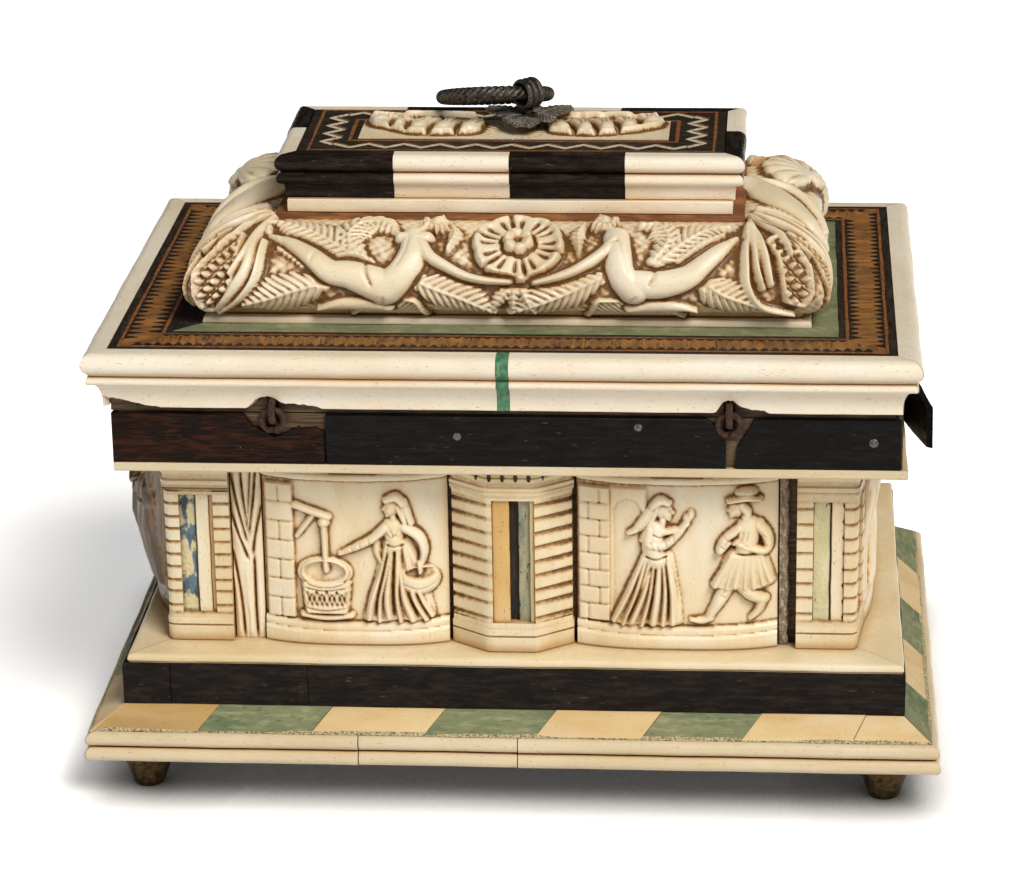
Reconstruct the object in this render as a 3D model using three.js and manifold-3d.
// A small late-medieval bone and wood casket, in millimetres, standing on the plane z = 0.
// The long face towards -Y is the hinge face, +X is to its right and +Z is up.
// Everything is laid out from the base moulding: an inset is the step in from its outer edge.
import * as THREE from 'three';
import { mergeVertices } from 'three/addons/utils/BufferGeometryUtils.js';
import Module from 'manifold-3d';

const wasm = await Module();
wasm.setup();

// Clearances
const gap = 0.3;
const mitreGap = 0.1;

// Feet and base moulding
const baseWidth = 210.4;
const baseDepth = 143.4;
const footHeight = 11;
const footTopRadius = 7.3;
const footSoleRadius = 3.4;
const footSoleRound = 0.7;
const footCollarHeight = 1.2;
const footCollarLip = 0.5;
const footInset = 13.6;
const baseMouldingHeight = 7.8;
const baseMouldingThickness = 3.2;

// Plinth: sloping chequered band, upright dark band and the ledge that the walls stand on
const slopeFootInset = 2.3;
const slopeHeight = 4.5;
const bandInset = 8.8;
const bandHeight = 10.9;
const bandThickness = 1.6;
const ledgeInset = 9.1;
const ledgeHeight = 2.2;
const ledgeRound = 1;
const floorRise = 0.2;

// Walls: wooden boards with a projecting rim on top
const wallFaceInset = 23.2;
const wallThickness = 6;
const wallHeight = 48.2;
const dressingInset = 18.2;
const rimInset = 9.4;
const rimHeight = 12.5;
const rimVeneerThickness = 1.5;
const rimBeadHeight = 2.4;
const rimBeadWidth = 6;
const rimBeadStep = 0.7;
const rimJointLeftOffset = 12.6;
const rimJointRightOffset = 1.5;
const peelLostLength = 17.3;
const peelLength = 30;
const peelReach = 6.4;
const peelTear = 3.2;

// Bone dressing of the walls
const cornerTowerWidth = 17.5;
const cornerTowerChamfer = 1.4;
const towerPlinthHeight = 5;
const towerHeadHeight = 8.5;
const towerSetback = 0.8;
const centreTowerWidth = 31;
const centreTowerFrontWidth = 12.4;
const centreTowerProjection = 9.6;
const centreTowerShoulder = 2.6;
const pilasterWidth = 7.4;
const pilasterProjection = 3.6;
const bareGapWidth = 4.5;
const sceneEdge = 1.6;
const sceneSwell = 3.2;
// The end panel on the left stands out further than the one on the right.
const endPanelEdge = { left: 4.7, right: 3 };
const endPanelSwell = { left: 6.8, right: 2.9 };
const scenePlinthHeight = 4.2;
const sceneGroundHeight = 6.4;
const sceneCorniceHeight = 3;
const windowDepth = 1.5;
const windowFoot = 7.2;
const windowHeight = 30;
const cornerWindowWidth = 8.8;
const centreWindowWidth = 10.2;
const centreWindowRise = 0.8;

// Lid: moulded edge, inlaid panel, swelling carved cushion and moulded top block
const lidShift = -1.6;
const lidLift = 1.7;
const lidOverhang = 4.4;
const lidMouldingHeight = 14.3;
const lidMouldingWidth = 5.8;
const lidLipRadius = 2.65;
const lidBeadRadius = 1.1;
const lidFootFillet = 1.6;
const lidInsertWidth = 2.9;
const lidInsertOffset = 0.9;
const inlayThickness = 1.5;
const borderWidth = 20.2;
const filletHeight = 1.5;
const filletWidth = 3;
const crownSwell = 7.3;
const crownSwellHeight = 7.5;
const crownHeight = 21.5;
const crownInset = 14.5;
const carvingThickness = 6;
const carvingLip = 3;
const topFilletHeight = 3.3;
const topFilletOverhang = 0.9;
const topMouldingHeight = 11.2;
const topMouldingWidth = 5.2;
const topFootInset = 2.3;
const topLipRadius = 2.1;
const topBeadRadius = 1.6;
const topFootFillet = 0.3;
const plaqueWidth = 77;
const plaqueDepth = 17;
const plaqueHeight = 1.1;

// Swinging ring handle, its eye and the leafed rosette under the eye
const ringRadius = 13.2;
const ringWire = 1.75;
const ringRestAngle = 14.6;
const ringTilt = 10.5;
const eyeX = 3.2;
const eyeY = 1;
const eyeHeight = 9.6;
const eyeTurn = 44;
const eyeBore = 2.8;
const eyeThickness = 1.6;
const eyeWidth = 4.6;
const eyeShankRadius = 1.2;
const rosetteRadius = 11;
const rosetteRise = 2.4;
const rosetteThickness = 0.9;
const rosetteLeaves = 5;
const rosetteStemRadius = 2.5;

// Hinges: pairs of interlocked wire eyes on the rear face
const hingeSpacing = 109.4;
const hingeInset = 9.7;
const hingeRise = 1.2;
const hingeWire = 0.85;
const hingeClearance = 0.5;
const boxEyeRadius = 2.6;
const lidEyeRadius = 2.45;
const hingeTail = 11;
const hingeBreakHeight = 3;

// Levels, from the floor up
const baseTop = footHeight + baseMouldingHeight;
const bandFoot = baseTop + slopeHeight;
const bandTop = bandFoot + bandHeight;
const ledgeTop = bandTop + ledgeHeight;
const wallTop = ledgeTop + wallHeight;
const rimFoot = wallTop + rimBeadHeight;
const rimTop = rimFoot + rimHeight;
const lidFoot = rimTop + lidLift;
const lidPanelTop = lidFoot + lidMouldingHeight;
const crownFoot = lidPanelTop + filletHeight;
const crownTop = crownFoot + crownHeight;
const topFilletTop = crownTop + topFilletHeight;
const topPanelTop = topFilletTop + topMouldingHeight;

// Half sizes of the base, which the insets are taken from
const baseX = baseWidth / 2;
const baseY = baseDepth / 2;

// Half sizes of the lid and of what stands on it, each from the one below
const lidX = baseX - rimInset + lidOverhang;
const lidY = baseY - rimInset + lidOverhang;
const panelX = lidX - lidMouldingWidth;
const panelY = lidY - lidMouldingWidth;
const filletX = panelX - borderWidth;
const filletY = panelY - borderWidth;
const crownX = filletX - filletWidth;
const crownY = filletY - filletWidth;
const crownTopX = crownX - crownInset;
const crownTopY = crownY - crownInset;
const topX = crownTopX + topFilletOverhang;
const topY = crownTopY + topFilletOverhang;
const topPanelX = topX - topMouldingWidth;
const topPanelY = topY - topMouldingWidth;

// Hinge line, shared by the cuts in the box, the cuts in the lid and both pairs of eyes
const hingeY = -(baseY - hingeInset);
const hingeZ = rimTop + hingeRise;
const hingeXs = [lidShift - hingeSpacing / 2, lidShift + hingeSpacing / 2];

// Finishes
const finish = (color, roughness, metalness = 0) =>
  new THREE.MeshStandardMaterial({ color, roughness, metalness });
const bone = finish(0xeadfbf, 0.45);
const paleBone = finish(0xf3e9cd, 0.45);
const greenBone = finish(0x5f8a66, 0.5);
const darkWood = finish(0x2a211d, 0.6);
const redWood = finish(0x4a2a1e, 0.55);
const plainWood = finish(0x8a6a48, 0.8);
const inlayWood = finish(0x6d4a2c, 0.55);
const iron = finish(0x4c4540, 0.6, 0.8);
const rustyIron = finish(0x6a4a38, 0.8, 0.6);
const brass = finish(0x6b5632, 0.5, 0.8);

// Volume of a closed indexed geometry, negative when its faces point inwards
function signedVolume(position, index) {
  const a = new THREE.Vector3();
  const b = new THREE.Vector3();
  const c = new THREE.Vector3();
  let volume = 0;
  for (let i = 0; i < index.length; i += 3) {
    a.fromBufferAttribute(position, index[i]);
    b.fromBufferAttribute(position, index[i + 1]);
    c.fromBufferAttribute(position, index[i + 2]);
    volume += a.dot(b.cross(c)) / 6;
  }
  return volume;
}

// Positions only, shared vertices merged, empty triangles dropped and faces turned outwards
function clean(geometry) {
  const bare = geometry.clone();
  for (const name of Object.keys(bare.attributes)) {
    if (name !== 'position') bare.deleteAttribute(name);
  }
  const merged = mergeVertices(bare, 1e-4);
  const source = Array.from(merged.index.array);
  const kept = [];
  for (let i = 0; i < source.length; i += 3) {
    const [a, b, c] = source.slice(i, i + 3);
    if (a !== b && b !== c && c !== a) kept.push(a, b, c);
  }
  if (signedVolume(merged.attributes.position, kept) < 0) kept.reverse();
  merged.setIndex(kept);
  return merged;
}

function toSolid(geometry) {
  const closed = clean(geometry);
  return new wasm.Manifold(new wasm.Mesh({
    numProp: 3,
    vertProperties: new Float32Array(closed.attributes.position.array),
    triVerts: new Uint32Array(closed.index.array),
  }));
}

function toGeometry(solid) {
  const mesh = solid.getMesh();
  const geometry = new THREE.BufferGeometry();
  geometry.setAttribute('position', new THREE.BufferAttribute(mesh.vertProperties, 3));
  geometry.setIndex(Array.from(mesh.triVerts));
  return geometry;
}

function cut(geometry, tools) {
  return toGeometry(tools.reduce((rest, tool) => rest.subtract(toSolid(tool)), toSolid(geometry)));
}

function join(geometries) {
  const solids = geometries.map(toSolid);
  return toGeometry(solids.reduce((whole, next) => whole.add(next)));
}

// Triangles that close one loop of points, wound the same way as the loop
function capOf(loop) {
  const normal = new THREE.Vector3();
  loop.forEach((p, i) => normal.add(p.clone().cross(loop[(i + 1) % loop.length])));
  normal.normalize();
  const across = loop[1].clone().sub(loop[0]);
  across.addScaledVector(normal, -across.dot(normal)).normalize();
  const along = normal.clone().cross(across);
  const flat = loop.map((p) => new THREE.Vector2(p.dot(across), p.dot(along)));
  return THREE.ShapeUtils.triangulateShape(flat, []).map(([a, b, c]) => {
    const turn = flat[b].clone().sub(flat[a]).cross(flat[c].clone().sub(flat[a]));
    return turn > 0 ? [a, b, c] : [a, c, b];
  });
}

// Skin over a row of equal loops of points, closed by flat caps or back on itself
function skin(loops, endless = false) {
  const size = loops[0].length;
  const index = [];
  const spans = endless ? loops.length : loops.length - 1;
  for (let k = 0; k < spans; k += 1) {
    const here = k * size;
    const next = ((k + 1) % loops.length) * size;
    for (let i = 0; i < size; i += 1) {
      const j = (i + 1) % size;
      index.push(here + i, here + j, next + j, here + i, next + j, next + i);
    }
  }
  if (!endless) {
    const last = (loops.length - 1) * size;
    capOf(loops[0]).forEach(([a, b, c]) => index.push(a, c, b));
    capOf(loops[loops.length - 1]).forEach(([a, b, c]) => index.push(last + a, last + b, last + c));
  }
  const geometry = new THREE.BufferGeometry().setFromPoints(loops.flat());
  geometry.setIndex(index);
  return clean(geometry);
}

function block(x0, x1, y0, y1, z0, z1) {
  const box = new THREE.BoxGeometry(x1 - x0, y1 - y0, z1 - z0);
  return box.translate((x0 + x1) / 2, (y0 + y1) / 2, (z0 + z1) / 2);
}

// Round bar along Y, from one y to another
function rodAlongY(radius, x, y0, y1, z, sides = 10) {
  return new THREE.CylinderGeometry(radius, radius, y1 - y0, sides).translate(x, (y0 + y1) / 2, z);
}

// Round upright post about the Z axis
function post(radius, z0, z1, sides) {
  return new THREE.CylinderGeometry(radius, radius, z1 - z0, sides)
    .rotateX(Math.PI / 2).translate(0, 0, (z0 + z1) / 2);
}

// Solid with rectangular levels, each [half width, half depth, height]
function stepped(levels) {
  return skin(levels.map(([x, y, z]) => [
    new THREE.Vector3(-x, -y, z), new THREE.Vector3(x, -y, z),
    new THREE.Vector3(x, y, z), new THREE.Vector3(-x, y, z),
  ]));
}

// Whole mitred frame: a section of [outward, height] points run round a rectangle
function frame(section, halfX, halfY) {
  const corners = [[-1, -1], [1, -1], [1, 1], [-1, 1]];
  return skin(corners.map(([sx, sy]) => section.map(([out, z]) =>
    new THREE.Vector3(sx * (halfX + out), sy * (halfY + out), z))), true);
}

// One length of a mitred frame; an end given as a number is cut square there instead
const quarterTurns = { rear: 0, right: 1, front: 2, left: 3 };
function length(section, halfX, halfY, side, from = null, to = null) {
  const turns = quarterTurns[side];
  const [halfAlong, halfOut] = turns % 2 ? [halfY, halfX] : [halfX, halfY];
  const end = (sign, cutAt) => section.map(([out, z]) => new THREE.Vector3(
    cutAt === null ? sign * (halfAlong + out - mitreGap) : cutAt, -(halfOut + out), z));
  return skin([end(-1, from), end(1, to)]).rotateZ(turns * Math.PI / 2);
}

// Points on an elliptic arc, angles in degrees from the outward direction
function arc(centreOut, centreZ, radiusOut, radiusZ, fromAngle, toAngle, steps) {
  return Array.from({ length: steps + 1 }, (_, i) => {
    const angle = THREE.MathUtils.degToRad(fromAngle + ((toAngle - fromAngle) * i) / steps);
    return [centreOut + radiusOut * Math.cos(angle), centreZ + radiusZ * Math.sin(angle)];
  });
}

// Section of an edge moulding: rounded lip, bead set back under it, hollow and foot fillet
function moulding({ foot, top, width, lip, bead, beadSetback, hollow, fillet }) {
  const beadMiddle = top - 2 * lip - bead - beadSetback / 2;
  const hollowHeight = beadMiddle - bead - foot - fillet;
  const hollowEnd = bead + beadSetback;
  return [
    [-width, foot], [-hollow, foot],
    ...arc(-hollowEnd, foot + fillet, hollowEnd - hollow, hollowHeight, 0, 80, 4),
    ...arc(-hollowEnd, beadMiddle, bead, bead, -80, 80, 5),
    ...arc(-lip, top - lip, lip, lip, -75, 90, 8),
    [-width, top],
  ];
}

function add(group, name, geometry, material) {
  const mesh = new THREE.Mesh(clean(geometry), material);
  mesh.name = name;
  group.add(mesh);
}

const casket = new THREE.Group();
const box = new THREE.Group();
const lid = new THREE.Group();
lid.position.x = lidShift;
casket.add(box, lid);

// Four turned feet, pegged into the underside of the base near its corners
const footX = baseX - footInset;
const footY = baseY - footInset;
for (const [name, sx, sy] of [['foot_rear_left', -1, -1], ['foot_rear_right', 1, -1],
  ['foot_front_left', -1, 1], ['foot_front_right', 1, 1]]) {
  const outline = [
    new THREE.Vector2(0, 0), new THREE.Vector2(footSoleRadius, 0),
    new THREE.Vector2(footSoleRadius + footSoleRound, footSoleRound),
    new THREE.Vector2(footTopRadius - footCollarLip, footHeight - footCollarHeight - footCollarLip),
    new THREE.Vector2(footTopRadius, footHeight - footCollarHeight),
    new THREE.Vector2(footTopRadius, footHeight), new THREE.Vector2(0, footHeight),
  ];
  const foot = new THREE.LatheGeometry(outline, 20).rotateX(Math.PI / 2);
  add(box, name, foot.translate(sx * footX, sy * footY, 0), brass);
}

// Wooden core of base and plinth, with the floor of the box standing up inside the walls
const coreInset = bandInset + bandThickness;
const wallInnerInset = wallFaceInset + wallThickness;
const floorInset = wallInnerInset + gap;
add(box, 'plinth_core', stepped([
  [baseX - baseMouldingThickness, baseY - baseMouldingThickness, footHeight],
  [baseX - baseMouldingThickness, baseY - baseMouldingThickness, baseTop],
  [baseX - coreInset, baseY - coreInset, baseTop],
  [baseX - coreInset, baseY - coreInset, bandTop],
  [baseX - floorInset, baseY - floorInset, bandTop],
  [baseX - floorInset, baseY - floorInset, ledgeTop + floorRise],
]), plainWood);

// Base moulding: two reeds cut in one bone strip, mitred at the corners
const reed = baseMouldingHeight / 2;
const reedSetback = 0.3;
const baseSection = [
  [-baseMouldingThickness, footHeight],
  ...arc(-reed / 2, footHeight + reed / 2, reed / 2, reed / 2, -80, 80, 6),
  ...arc(-reed / 2 - reedSetback, footHeight + 1.5 * reed, reed / 2, reed / 2, -70, 90, 6),
  [-baseMouldingThickness, baseTop],
];
for (const side of Object.keys(quarterTurns)) {
  add(box, `base_moulding_${side}`, length(baseSection, baseX, baseY, side), bone);
}

// Sloping band of cream and green bone lozenges, on the step of the core
const slopeEdge = 0.3;
add(box, 'chequer_band', frame([
  [-coreInset, baseTop], [-slopeFootInset, baseTop], [-slopeFootInset, baseTop + slopeEdge],
  [-bandInset, bandFoot], [-coreInset, bandFoot],
], baseX, baseY), greenBone);

// Upright band of dark wood round the core
add(box, 'plinth_band', frame([
  [-coreInset, bandFoot], [-bandInset, bandFoot], [-bandInset, bandTop], [-coreInset, bandTop],
], baseX, baseY), darkWood);

// Ledge of bone slabs, its outer edge rounded over
const ledgeInnerInset = wallFaceInset - gap;
add(box, 'ledge', frame([
  [-ledgeInnerInset, bandTop], [-ledgeInset, bandTop],
  ...arc(-ledgeInset - ledgeRound, ledgeTop - ledgeRound, ledgeRound, ledgeRound, 0, 90, 3),
  [-ledgeInnerInset, ledgeTop],
], baseX, baseY), bone);

// Cuts for the hinges: drilled holes for the tails and a slot for each lid eye
const tailHole = hingeWire + gap;
const boxTailZ = hingeZ - 2 * boxEyeRadius;
const lidTailZ = hingeZ + lidEyeRadius;
const tailEnd = hingeY + hingeTail;
const eyeSlot = lidEyeRadius + hingeWire + hingeClearance;
const slotHalf = hingeWire + hingeClearance;
const eyeSlotCut = (x) => new THREE.CylinderGeometry(eyeSlot, eyeSlot, 2 * slotHalf, 20)
  .rotateZ(Math.PI / 2).translate(x, hingeY, hingeZ);
const boxTailHole = (x) => rodAlongY(tailHole, x, hingeY - tailHole, tailEnd + gap, boxTailZ);

// Four wall boards, each with its share of the projecting rim
const rimCoreInset = rimInset + rimVeneerThickness;
const beadInnerInset = rimInset + rimBeadWidth;
const wallSection = [
  [-wallInnerInset, bandTop], [-wallFaceInset, bandTop], [-wallFaceInset, wallTop],
  [-beadInnerInset - gap, wallTop], [-beadInnerInset - gap, rimFoot], [-rimCoreInset, rimFoot],
  [-rimCoreInset, rimTop], [-wallInnerInset, rimTop],
];
for (const side of Object.keys(quarterTurns)) {
  const board = length(wallSection, baseX, baseY, side);
  const hinged = side === 'rear';
  const tools = hingeXs.flatMap((x) => [eyeSlotCut(x), boxTailHole(x)]);
  add(box, `wall_board_${side}`, hinged ? cut(board, tools) : board, plainWood);
}

// Bone bead under the edge of the rim, just proud of the veneer above
const beadProud = 0.1;
add(box, 'rim_bead', frame([
  [-beadInnerInset, wallTop], [-rimInset - beadProud, wallTop],
  [-rimInset + beadProud, wallTop + rimBeadStep], [-rimInset + beadProud, rimFoot],
  [-beadInnerInset, rimFoot],
], baseX, baseY), bone);

// Upright plate with its outline in x and z, its face on the rear side of the rim
function rimPlate(outline) {
  const shape = new THREE.Shape(outline.map(([x, z]) => new THREE.Vector2(x, z)));
  const plate = new THREE.ExtrudeGeometry(shape, { depth: rimVeneerThickness, bevelEnabled: false });
  return plate.rotateX(Math.PI / 2).translate(0, -(baseY - rimCoreInset), 0);
}

// Dark veneer on the rear of the rim: three lengths, broken away round the hinges
const rimX = baseX - rimInset;
const rimJointLeft = hingeXs[0] + rimJointLeftOffset;
const rimJointRight = hingeXs[1] + rimJointRightOffset;
const breakHalf = boxEyeRadius + hingeWire + hingeClearance;
const breakFoot = boxTailZ - hingeWire - hingeClearance;
const breakFootHalf = 2 * hingeWire;
const chipDepth = (rimTop - breakFoot) / 2;
add(box, 'rim_veneer_rear_left', rimPlate([
  [-rimX, rimFoot], [rimJointLeft - mitreGap, rimFoot], [rimJointLeft - mitreGap, rimTop - chipDepth],
  [hingeXs[0] + breakHalf, rimTop - chipDepth], [hingeXs[0] + breakFootHalf, breakFoot],
  [hingeXs[0] - breakFootHalf, breakFoot], [hingeXs[0] - breakHalf, rimTop - chipDepth],
  [hingeXs[0] - breakHalf - breakFootHalf, rimTop], [-rimX, rimTop],
]), redWood);
add(box, 'rim_veneer_rear_middle', rimPlate([
  [rimJointLeft + mitreGap, rimFoot], [rimJointRight - mitreGap, rimFoot],
  [rimJointRight - mitreGap, breakFoot], [hingeXs[1] - breakFootHalf, breakFoot],
  [hingeXs[1] - breakHalf, rimTop - chipDepth], [hingeXs[1] - breakHalf - breakFootHalf, rimTop],
  [rimJointLeft + mitreGap, rimTop],
]), darkWood);
add(box, 'rim_veneer_rear_right', rimPlate([
  [rimJointRight + mitreGap, rimFoot], [rimX - rimVeneerThickness, rimFoot],
  [rimX - rimVeneerThickness, rimTop], [hingeXs[1] + breakHalf + breakFootHalf, rimTop],
  [hingeXs[1] + breakHalf, rimTop - chipDepth], [rimJointRight + mitreGap, breakFoot],
]), darkWood);

// Veneer on the other sides; the right one has sprung loose and bends out at its torn end
const sideVeneerSection = [
  [-rimCoreInset, rimFoot], [-rimInset, rimFoot], [-rimInset, rimTop], [-rimCoreInset, rimTop],
];
add(box, 'rim_veneer_front', length(sideVeneerSection, baseX, baseY, 'front'), darkWood);
const rimY = baseY - rimInset;
const leftVeneer = block(-rimX, -rimX + rimVeneerThickness,
  -(rimY - rimVeneerThickness) + gap, rimY - rimVeneerThickness - gap, rimFoot, rimTop);
add(box, 'rim_veneer_left', leftVeneer, darkWood);

function peeledVeneer() {
  const steps = 8;
  const tornEnd = peelLostLength - rimY;
  const shares = [0, ...Array.from({ length: steps }, (_, i) => (i + 1) / steps)];
  const stuckEnd = [rimY - rimVeneerThickness - gap, 0];
  const stations = [stuckEnd, ...shares.map((share) => [tornEnd + peelLength * (1 - share), share])];
  return skin(stations.map(([y, loose]) => {
    const inner = rimX - rimVeneerThickness + peelReach * loose ** 1.6;
    const outer = inner + rimVeneerThickness;
    const tear = loose === 1 ? peelTear : 0;
    return [
      new THREE.Vector3(inner, y, rimFoot), new THREE.Vector3(outer, y, rimFoot),
      new THREE.Vector3(outer, y, rimTop - tear), new THREE.Vector3(inner, y, rimTop - tear),
    ];
  }));
}
add(box, 'rim_veneer_right_peeled', peeledVeneer(), darkWood);

// Bone dressing stands on the ledge and stops just short of the rim
const dressX = baseX - dressingInset;
const dressY = baseY - dressingInset;
const wallFaceX = baseX - wallFaceInset + gap;
const wallFaceY = baseY - wallFaceInset + gap;
const dressHeight = wallHeight - gap;

// Outline of a tower as [setback, height] rows: plinth, shaft, then a collar and a cornice
function towerLevels(setback) {
  const headAt = (share) => dressHeight - share * towerHeadHeight;
  return [
    [0, 0], [0, towerPlinthHeight], [setback, towerPlinthHeight + setback], [setback, headAt(1)],
    [setback / 3, headAt(0.9)], [setback / 3, headAt(0.7)], [setback, headAt(0.6)],
    [setback / 3, headAt(0.4)], [0, headAt(0.25)], [0, dressHeight],
  ];
}

// Corner towers: L-shaped in plan, moulded at foot and head, a recessed window in each face
function cornerTower(sx, sy) {
  const plan = (o, z) => [
    [dressX - cornerTowerWidth, dressY - o], [dressX - o - cornerTowerChamfer, dressY - o],
    [dressX - o, dressY - o - cornerTowerChamfer], [dressX - o, dressY - cornerTowerWidth],
    [wallFaceX, dressY - cornerTowerWidth], [wallFaceX, wallFaceY],
    [dressX - cornerTowerWidth, wallFaceY],
  ].map(([x, y]) => new THREE.Vector3(x, y, ledgeTop + z));
  const shaft = skin(towerLevels(towerSetback).map(([o, z]) => plan(o, z)));
  const windowX = dressX - (cornerTowerWidth + towerSetback) / 2;
  const windowY = dressY - (cornerTowerWidth + towerSetback) / 2;
  const half = cornerWindowWidth / 2;
  const z0 = ledgeTop + windowFoot;
  const z1 = z0 + windowHeight;
  const depth = windowDepth + towerSetback;
  return cut(shaft, [
    block(windowX - half, windowX + half, dressY - depth, dressY + gap, z0, z1),
    block(dressX - depth, dressX + gap, windowY - half, windowY + half, z0, z1),
  ]).scale(sx, sy, 1);
}
for (const [name, sx, sy] of [['corner_tower_rear_left', -1, -1], ['corner_tower_rear_right', 1, -1],
  ['corner_tower_front_left', -1, 1], ['corner_tower_front_right', 1, 1]]) {
  add(box, name, cornerTower(sx, sy), bone);
}

// Centre towers: half an octagon in plan, with one tall window
function centreTower(sy) {
  const halfWide = centreTowerWidth / 2;
  const halfFront = centreTowerFrontWidth / 2;
  const plan = (o, z) => [
    [halfWide - o, wallFaceY], [halfWide - o, wallFaceY + centreTowerShoulder],
    [halfFront - o / 2, wallFaceY + centreTowerProjection - o],
    [-halfFront + o / 2, wallFaceY + centreTowerProjection - o],
    [-halfWide + o, wallFaceY + centreTowerShoulder], [-halfWide + o, wallFaceY],
  ].map(([x, y]) => new THREE.Vector3(x, y, ledgeTop + z));
  const shaft = skin(towerLevels(towerSetback).map(([o, z]) => plan(o, z)));
  const front = wallFaceY + centreTowerProjection;
  const back = front - 2 * windowDepth - towerSetback;
  const half = centreWindowWidth / 2;
  const foot = ledgeTop + windowFoot + centreWindowRise;
  const head = ledgeTop + windowFoot + windowHeight + centreWindowRise;
  const opening = block(-half, half, back, front + gap, foot, head);
  return cut(shaft, [opening]).scale(1, sy, 1);
}
add(box, 'centre_tower_rear', centreTower(-1), bone);
add(box, 'centre_tower_front', centreTower(1), bone);

// Bowed panel with a plinth, a ground line, a field for the carving and a cornice.
// It stands with its back on y = 0 and swells towards +Y.
function bowedPanel(width, swell, edge = sceneEdge) {
  const steps = 12;
  const plan = (border, bow, z) => {
    const front = Array.from({ length: steps + 1 }, (_, i) => {
      const share = 1 - (2 * i) / steps;
      const x = (share * width) / 2;
      return new THREE.Vector3(x, border + bow * (1 - Math.abs(share) ** 3), ledgeTop + z);
    });
    const z0 = ledgeTop + z;
    return [...front, new THREE.Vector3(-width / 2, 0, z0), new THREE.Vector3(width / 2, 0, z0)];
  };
  const step = 0.6;
  const head = dressHeight - sceneCorniceHeight;
  return skin([
    plan(edge + step, swell + 2 * step, 0),
    plan(edge + step, swell + 2 * step, scenePlinthHeight),
    plan(edge + step / 2, swell + step, scenePlinthHeight + step),
    plan(edge + step / 2, swell + step, sceneGroundHeight),
    plan(edge, swell, sceneGroundHeight + step), plan(edge, swell, head - step),
    plan(edge + step / 2, swell + step, head),
    plan(edge + step / 2, swell + step, dressHeight),
  ]);
}

// Scene panels on the long faces, between the centre tower and the pilasters
const sceneInner = centreTowerWidth / 2 + gap;
const pilasterOuter = dressX - cornerTowerWidth - gap;
const pilasterInner = pilasterOuter - pilasterWidth;
const sceneWidth = pilasterInner - gap - sceneInner;
const sceneX = sceneInner + sceneWidth / 2;
const rearRightSceneWidth = dressX - cornerTowerWidth - bareGapWidth - sceneInner;
const rearRightSceneX = sceneInner + rearRightSceneWidth / 2;
const rearScene = (width, x) =>
  bowedPanel(width, sceneSwell).rotateZ(Math.PI).translate(x, -wallFaceY, 0);
const frontScene = (x) => bowedPanel(sceneWidth, sceneSwell).translate(x, wallFaceY, 0);
add(box, 'scene_panel_rear_left', rearScene(sceneWidth, -sceneX), paleBone);
add(box, 'scene_panel_rear_right', rearScene(rearRightSceneWidth, rearRightSceneX), paleBone);
add(box, 'scene_panel_front_left', frontScene(-sceneX), paleBone);
add(box, 'scene_panel_front_right', frontScene(sceneX), paleBone);

// One wide panel on each end, between the corner towers
const endPanelWidth = 2 * (dressY - cornerTowerWidth - gap);
const endPanel = (side, turn, x) =>
  bowedPanel(endPanelWidth, endPanelSwell[side], endPanelEdge[side]).rotateZ(turn).translate(x, 0, 0);
add(box, 'end_panel_left', endPanel('left', Math.PI / 2, -wallFaceX), paleBone);
add(box, 'end_panel_right', endPanel('right', -Math.PI / 2, wallFaceX), paleBone);

// Pilasters beside the corner towers; the one at the rear right is lost
function pilaster(centreX, sy) {
  const half = pilasterWidth / 2;
  const bevel = 1.2;
  const plan = (o, z) => [
    [half, 0], [half, pilasterProjection - bevel - o], [half - bevel, pilasterProjection - o],
    [bevel - half, pilasterProjection - o], [-half, pilasterProjection - bevel - o], [-half, 0],
  ].map(([x, y]) => new THREE.Vector3(x, y, ledgeTop + z));
  const taper = 0.8;
  const shaft = skin([plan(0, 0), plan(0, dressHeight / 3), plan(taper, dressHeight)]);
  return shaft.translate(0, wallFaceY, 0).scale(1, sy, 1).translate(centreX, 0, 0);
}
const pilasterX = (pilasterOuter + pilasterInner) / 2;
add(box, 'pilaster_rear_left', pilaster(-pilasterX, -1), bone);
add(box, 'pilaster_front_left', pilaster(-pilasterX, 1), bone);
add(box, 'pilaster_front_right', pilaster(pilasterX, 1), bone);

// Hinge eyes on the box: upright rings facing out, each with a tail driven into the rim
for (const [name, x] of [['box_hinge_eye_left', hingeXs[0]], ['box_hinge_eye_right', hingeXs[1]]]) {
  const eye = new THREE.TorusGeometry(boxEyeRadius, hingeWire, 8, 24).rotateX(Math.PI / 2);
  eye.translate(x, hingeY, hingeZ - boxEyeRadius);
  add(box, name, join([eye, rodAlongY(hingeWire, x, hingeY, tailEnd, boxTailZ, 8)]), rustyIron);
}

// Wooden core of the lid: board, block inside the carved cushion and block inside the top
const lidCoreX = panelX - gap;
const lidCoreY = panelY - gap;
const lidCoreFoot = rimTop + gap;
const inlayFoot = lidPanelTop - inlayThickness;
const cushionX = crownX - carvingThickness - gap;
const cushionY = crownY - carvingThickness - gap;
const neckX = topPanelX;
const neckY = topPanelY;
const lidHingeXs = hingeXs.map((x) => x - lidShift);
const lidTailHole = (x) => rodAlongY(tailHole, x, hingeY - tailHole, tailEnd + gap, lidTailZ);
const lidCore = stepped([
  [lidCoreX, lidCoreY, lidCoreFoot], [lidCoreX, lidCoreY, inlayFoot],
  [cushionX, cushionY, inlayFoot], [cushionX, cushionY, crownFoot + crownSwellHeight],
  [neckX, neckY, crownTop - carvingThickness], [neckX, neckY, topPanelTop - inlayThickness],
]);
add(lid, 'lid_core', cut(lidCore,
  lidHingeXs.flatMap((x) => [eyeSlotCut(x), lidTailHole(x)])), plainWood);

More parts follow.
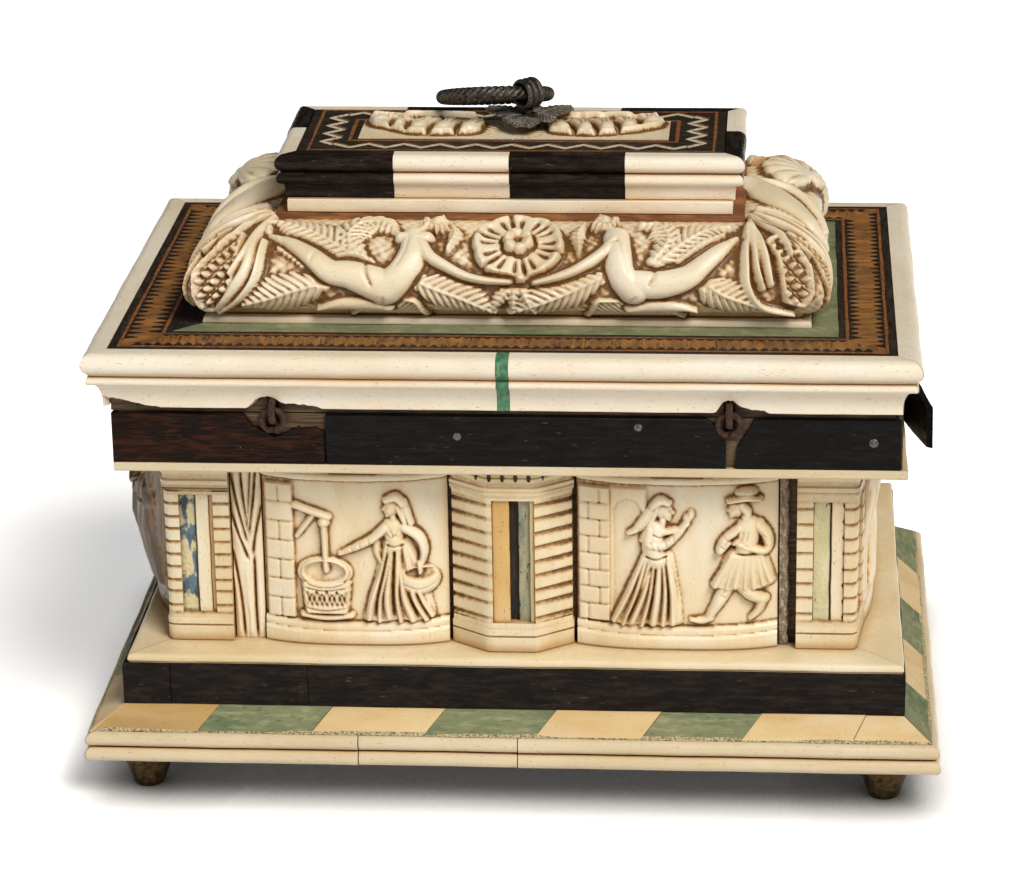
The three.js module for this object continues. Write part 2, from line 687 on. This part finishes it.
// Lid moulding in bone, in two lengths across the rear with a green insert where they meet
const lidSection = moulding({
  foot: lidFoot, top: lidPanelTop, width: lidMouldingWidth, lip: lidLipRadius,
  bead: lidBeadRadius, beadSetback: 1, hollow: lidOverhang, fillet: lidFootFillet,
});
const insertLeft = lidInsertOffset - lidInsertWidth / 2;
const insertRight = lidInsertOffset + lidInsertWidth / 2;
const mouldingBreak = (x) => block(x - breakHalf, x + breakHalf, -lidY - 1, -panelY + 1,
  lidFoot - 1, lidFoot + hingeBreakHeight);
const rearMoulding = (from, to, x) => cut(length(lidSection, lidX, lidY, 'rear', from, to),
  [mouldingBreak(x), eyeSlotCut(x)]);
add(lid, 'lid_moulding_rear_left',
  rearMoulding(null, insertLeft - mitreGap, lidHingeXs[0]), bone);
add(lid, 'lid_moulding_rear_right',
  rearMoulding(insertRight + mitreGap, null, lidHingeXs[1]), bone);
add(lid, 'lid_moulding_insert',
  length(lidSection, lidX, lidY, 'rear', insertLeft, insertRight), greenBone);

// The other three sides of the moulding, mitred and glued up as one
const surroundCorners = [[-1, -1], [-1, 1], [1, 1], [1, -1]];
add(lid, 'lid_moulding_surround', skin(surroundCorners.map(([sx, sy]) => {
  const mitre = sy < 0 ? mitreGap : 0;
  return lidSection.map(([out, z]) =>
    new THREE.Vector3(sx * (lidX + out), sy * (lidY + out - mitre), z));
})), bone);

// Inlaid sheet of dark wood, brown wood and green bone, open under the cushion
const inlayX = panelX - gap;
const inlayY = panelY - gap;
const inlayOpening = borderWidth + filletWidth + carvingThickness;
add(lid, 'lid_inlay_panel', frame([
  [-inlayOpening, inlayFoot], [0, inlayFoot], [0, lidPanelTop], [-inlayOpening, lidPanelTop],
], inlayX, inlayY), inlayWood);

// Bone fillet round the foot of the cushion
const filletInner = filletWidth + carvingThickness;
add(lid, 'cushion_fillet', frame([
  [-filletInner, lidPanelTop], [0, lidPanelTop], [-filletHeight / 3, crownFoot],
  [-filletInner, crownFoot],
], filletX, filletY), paleBone);

// Four carved sides of the cushion, swelling out from the fillet and drawing in to the top
const crownSection = [
  ...arc(0, crownFoot + crownSwellHeight, crownSwell, crownSwellHeight, -90, 0, 6),
  ...arc(-crownInset, crownFoot + crownSwellHeight, crownSwell + crownInset,
    crownHeight - crownSwellHeight, 0, 90, 9).slice(1),
  [neckX + gap - crownX, crownTop],
  [neckX + gap - crownX, crownTop - carvingLip],
  [-carvingThickness, crownFoot + crownSwellHeight + carvingLip],
  [-carvingThickness, crownFoot],
];
for (const side of Object.keys(quarterTurns)) {
  add(lid, `carved_cushion_${side}`, length(crownSection, crownX, crownY, side), bone);
}

// Bone fillet between the cushion and the top block
const neckGap = neckX - crownTopX + gap;
add(lid, 'top_fillet', frame([
  [neckGap, crownTop], [0, crownTop], [0, topFilletTop], [neckGap, topFilletTop],
], crownTopX, crownTopY), bone);

// Moulded edge of the top block, made of dark wood and bone lengths in turn
const topSection = moulding({
  foot: topFilletTop, top: topPanelTop, width: topMouldingWidth - gap, lip: topLipRadius,
  bead: topBeadRadius, beadSetback: 0.3, hollow: topFootInset, fillet: topFootFillet,
});
add(lid, 'top_moulding', frame(topSection, topX, topY), darkWood);

// Inlaid panel on top and the carved bone plaque let on to its middle
add(lid, 'top_inlay_panel', block(-topPanelX, topPanelX, -topPanelY, topPanelY,
  topPanelTop - inlayThickness, topPanelTop), inlayWood);
const plaqueTop = topPanelTop + plaqueHeight;
add(lid, 'top_plaque', block(-plaqueWidth / 2, plaqueWidth / 2, -plaqueDepth / 2, plaqueDepth / 2,
  topPanelTop, plaqueTop), paleBone);

// Leafed iron rosette on a short stem, with the eye's shank passing down through it
const rosetteFoot = plaqueTop;
const leafZ = rosetteFoot + rosetteRise;
const rosetteHub = rosetteStemRadius + 1;
function rosette() {
  const outline = new THREE.Shape();
  const steps = 12 * rosetteLeaves;
  for (let i = 0; i < steps; i += 1) {
    const angle = (2 * Math.PI * i) / steps;
    const lobe = Math.abs(Math.cos((rosetteLeaves * angle) / 2));
    const radius = rosetteHub + (rosetteRadius - rosetteHub) * Math.sqrt(lobe);
    const point = [radius * Math.cos(angle), radius * Math.sin(angle)];
    if (i === 0) outline.moveTo(...point);
    else outline.lineTo(...point);
  }
  const leaves = new THREE.ExtrudeGeometry(outline, { depth: rosetteThickness, bevelEnabled: false });
  leaves.translate(0, 0, leafZ);
  const stem = post(rosetteStemRadius, rosetteFoot, leafZ + rosetteThickness / 2, 16);
  const bore = post(eyeShankRadius + gap, rosetteFoot - 1, leafZ + rosetteThickness + 1, 16);
  return cut(join([leaves, stem]), [bore]);
}
add(lid, 'leaf_rosette', rosette().translate(eyeX, eyeY, 0), iron);

// Ribbed eye: three beads wide, turned across the lid, on a shank that stands on the plaque
const eyeZ = topPanelTop + eyeHeight;
const eyeOuter = eyeBore + eyeThickness;
const handle = new THREE.Group();
handle.position.set(eyeX, eyeY, eyeZ);
handle.rotation.z = THREE.MathUtils.degToRad(eyeTurn);
lid.add(handle);
function ribbedEye() {
  const rib = eyeWidth / 3;
  const groove = eyeThickness / 3;
  const outline = [new THREE.Vector2(eyeBore, -eyeWidth / 2)];
  for (let i = 0; i < 3; i += 1) {
    const foot = (i - 1.5) * rib;
    outline.push(new THREE.Vector2(eyeOuter - groove, foot));
    outline.push(new THREE.Vector2(eyeOuter, foot + rib / 3));
    outline.push(new THREE.Vector2(eyeOuter, foot + (2 * rib) / 3));
  }
  outline.push(new THREE.Vector2(eyeOuter - groove, eyeWidth / 2));
  outline.push(new THREE.Vector2(eyeBore, eyeWidth / 2), new THREE.Vector2(eyeBore, -eyeWidth / 2));
  const hoop = new THREE.LatheGeometry(outline, 24).rotateZ(Math.PI / 2);
  return join([hoop, post(eyeShankRadius, plaqueTop - eyeZ, -eyeBore - eyeThickness / 2, 12)]);
}
add(handle, 'handle_eye', ribbedEye(), iron);

// Ring handle: lies back through the eye, a little askew in its loose bore, and swings over
// to the other side
const ring = new THREE.TorusGeometry(ringRadius, ringWire, 10, 36);
ring.translate(0, ringRadius, 0).rotateY(THREE.MathUtils.degToRad(ringTilt))
  .rotateX(-THREE.MathUtils.degToRad(ringRestAngle));
add(handle, 'ring_handle', ring, iron);

// Hinge eyes on the lid: rings standing across the box eyes, tails driven into the lid
for (const [name, x] of [['lid_hinge_eye_left', lidHingeXs[0]], ['lid_hinge_eye_right', lidHingeXs[1]]]) {
  const eye = new THREE.TorusGeometry(lidEyeRadius, hingeWire, 8, 24).rotateY(Math.PI / 2);
  eye.translate(x, hingeY, hingeZ);
  add(lid, name, join([eye, rodAlongY(hingeWire, x, hingeY, tailEnd, lidTailZ, 8)]), rustyIron);
}

export default casket;
